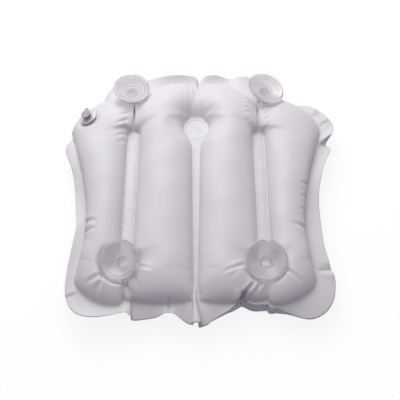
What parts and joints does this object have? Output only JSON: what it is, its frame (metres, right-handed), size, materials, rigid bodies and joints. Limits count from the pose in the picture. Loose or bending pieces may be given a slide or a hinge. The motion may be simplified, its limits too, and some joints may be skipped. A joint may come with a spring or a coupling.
{
  "type": "bath pillow",
  "caption": "Inflatable vinyl bath pillow with welded air tubes, a ruffled flange, clear suction cups on its back and a plugged inflation valve.",
  "frame": {"origin": "centre of the pillow's footprint, on the surface that it lies on", "axes": "+X to the right seen from the back, +Y to the top edge, +Z out of the back, where the suction cups are"},
  "size_m": [0.3473, 0.3499, 0.05],
  "materials": {
    "white_vinyl": "satin white vinyl sheet",
    "clear_vinyl": "clear soft vinyl",
    "valve_vinyl": "smoky clear vinyl"
  },
  "bodies": {
    "pillow_body": {"back_panel": "white_vinyl", "front_panel": "white_vinyl", "valve_base": "valve_vinyl"},
    "cup_upper_left": {"suction_cup_upper_left": "clear_vinyl"},
    "cup_upper_right": {"suction_cup_upper_right": "clear_vinyl"},
    "cup_lower_left": {"suction_cup_lower_left": "clear_vinyl"},
    "cup_lower_right": {"suction_cup_lower_right": "clear_vinyl"},
    "valve_stem": {"valve_stem": "valve_vinyl"},
    "valve_plug": {"valve_plug": "valve_vinyl"},
    "valve_flap": {"valve_flap": "valve_vinyl"}
  },
  "joints": [
    {"name": "cup_tilt_upper_left", "type": "hinge", "parent": "pillow_body", "child": "cup_upper_left", "pos_m": [-0.086, 0.142, 0.02138], "axis": [1, 0, 0], "range_deg": [-7, 7], "stiffness_Nm_per_rad": 0.05},
    {"name": "cup_tilt_upper_right", "type": "hinge", "parent": "pillow_body", "child": "cup_upper_right", "pos_m": [0.086, 0.142, 0.02138], "axis": [1, 0, 0], "range_deg": [-7, 7], "stiffness_Nm_per_rad": 0.05},
    {"name": "cup_tilt_lower_left", "type": "hinge", "parent": "pillow_body", "child": "cup_lower_left", "pos_m": [-0.08, -0.0985, 0.02138], "axis": [1, 0, 0], "range_deg": [-7, 7], "stiffness_Nm_per_rad": 0.05},
    {"name": "cup_tilt_lower_right", "type": "hinge", "parent": "pillow_body", "child": "cup_lower_right", "pos_m": [0.08, -0.0985, 0.02138], "axis": [1, 0, 0], "range_deg": [-7, 7], "stiffness_Nm_per_rad": 0.05},
    {"name": "valve_pull", "type": "slide", "parent": "pillow_body", "child": "valve_stem", "axis": [-0.359, 0.0409, 0.9325], "range_m": [0, 0.007]},
    {"name": "plug_open", "type": "hinge", "parent": "valve_stem", "child": "valve_plug", "pos_m": [-0.13912, 0.10993, 0.03836], "axis": [-0.9333, -0.0076, -0.359], "range_deg": [0, 120]},
    {"name": "flap_open", "type": "hinge", "parent": "valve_stem", "child": "valve_flap", "pos_m": [-0.1323, 0.10395, 0.02076], "axis": [0.9333, 0.0076, 0.359], "range_deg": [0, 50], "stiffness_Nm_per_rad": 0.00002}
  ]
}
